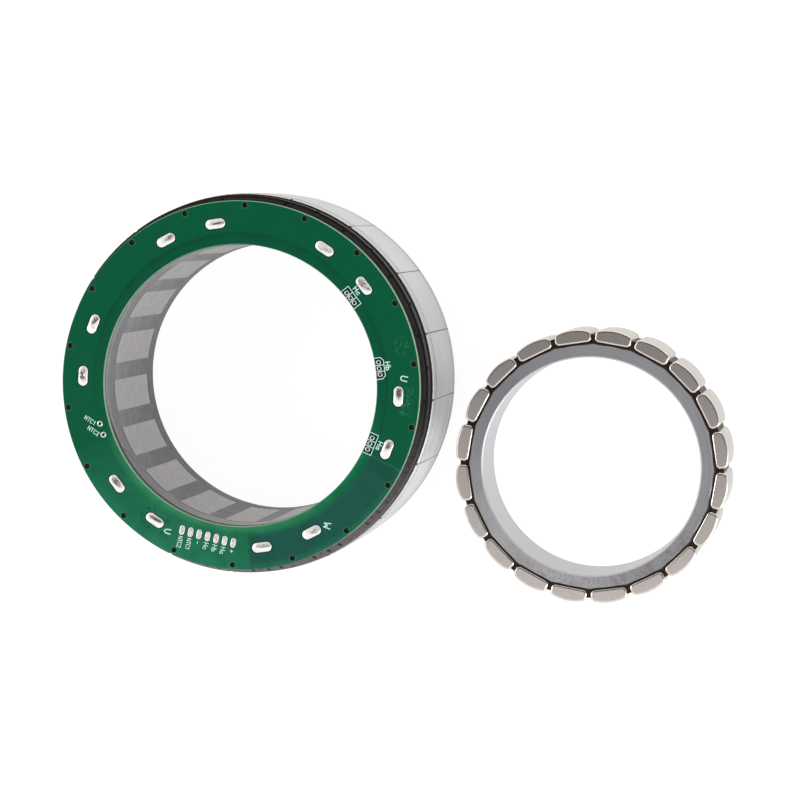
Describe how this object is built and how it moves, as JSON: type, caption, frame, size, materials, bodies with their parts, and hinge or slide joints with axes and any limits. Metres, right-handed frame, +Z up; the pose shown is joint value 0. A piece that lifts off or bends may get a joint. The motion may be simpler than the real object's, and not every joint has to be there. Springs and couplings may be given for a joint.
{
  "type": "frameless motor",
  "caption": "Frameless motor kit: a potted stator ring with sensor board, and beside it the magnet ring rotor that turns in its bore.",
  "frame": {"origin": "on the stator's axis, at the plane that both rings stand on", "axes": "+Z up along the stator's axis towards the circuit board, +X towards the board's first peg hole and the rotor"},
  "size_m": [0.142, 0.08, 0.0344],
  "materials": {
    "core_steel": "ground electrical steel laminations, satin",
    "yoke_steel": "turned steel, satin",
    "magnet_nickel": "nickel plate, satin, slightly warm",
    "winding_copper": "enamelled copper wire, impregnated",
    "solder": "bright solder with rolled creases",
    "pad_tin": "tinned pads",
    "insulator_plastic": "black glass-filled moulding",
    "sensor_plastic": "moulded black epoxy package",
    "thermistor_epoxy": "dipped epoxy bead",
    "board_green": "green solder mask on glass-epoxy board, semi-gloss",
    "legend_ink": "white screen-printed legend",
    "potting_resin": "cast grey resin, satin",
    "adhesive": "cured dark adhesive"
  },
  "bodies": {
    "stator": {"core_segment_01": "core_steel", "core_segment_02": "core_steel", "core_segment_03": "core_steel", "core_segment_04": "core_steel", "core_segment_05": "core_steel", "core_segment_06": "core_steel", "core_segment_07": "core_steel", "core_segment_08": "core_steel", "core_segment_09": "core_steel", "core_segment_10": "core_steel", "core_segment_11": "core_steel", "core_segment_12": "core_steel", "core_segment_13": "core_steel", "core_segment_14": "core_steel", "core_segment_15": "core_steel", "core_segment_16": "core_steel", "core_segment_17": "core_steel", "core_segment_18": "core_steel", "front_insulator": "insulator_plastic", "rear_insulator": "insulator_plastic", "phase_u_winding": "winding_copper", "phase_v_winding": "winding_copper", "phase_w_winding": "winding_copper", "phase_u_solder": "solder", "phase_v_solder": "solder", "phase_w_solder": "solder", "circuit_board": "board_green", "signal_pads": "pad_tin", "hall_sensor_a": "sensor_plastic", "hall_sensor_b": "sensor_plastic", "hall_sensor_c": "sensor_plastic", "thermistor": "thermistor_epoxy", "potting": "potting_resin"},
    "rotor": {"rotor_yoke": "yoke_steel", "magnet_01": "magnet_nickel", "magnet_02": "magnet_nickel", "magnet_03": "magnet_nickel", "magnet_04": "magnet_nickel", "magnet_05": "magnet_nickel", "magnet_06": "magnet_nickel", "magnet_07": "magnet_nickel", "magnet_08": "magnet_nickel", "magnet_09": "magnet_nickel", "magnet_10": "magnet_nickel", "magnet_11": "magnet_nickel", "magnet_12": "magnet_nickel", "magnet_13": "magnet_nickel", "magnet_14": "magnet_nickel", "magnet_15": "magnet_nickel", "magnet_16": "magnet_nickel", "magnet_17": "magnet_nickel", "magnet_18": "magnet_nickel", "magnet_19": "magnet_nickel", "magnet_20": "magnet_nickel", "magnet_adhesive": "adhesive"}
  },
  "joints": [
    {"name": "rotor_spin", "type": "hinge", "parent": "stator", "child": "rotor", "pos_m": [0.073, -0.0018, 0], "axis": [0, 0, 1], "continuous": true}
  ]
}
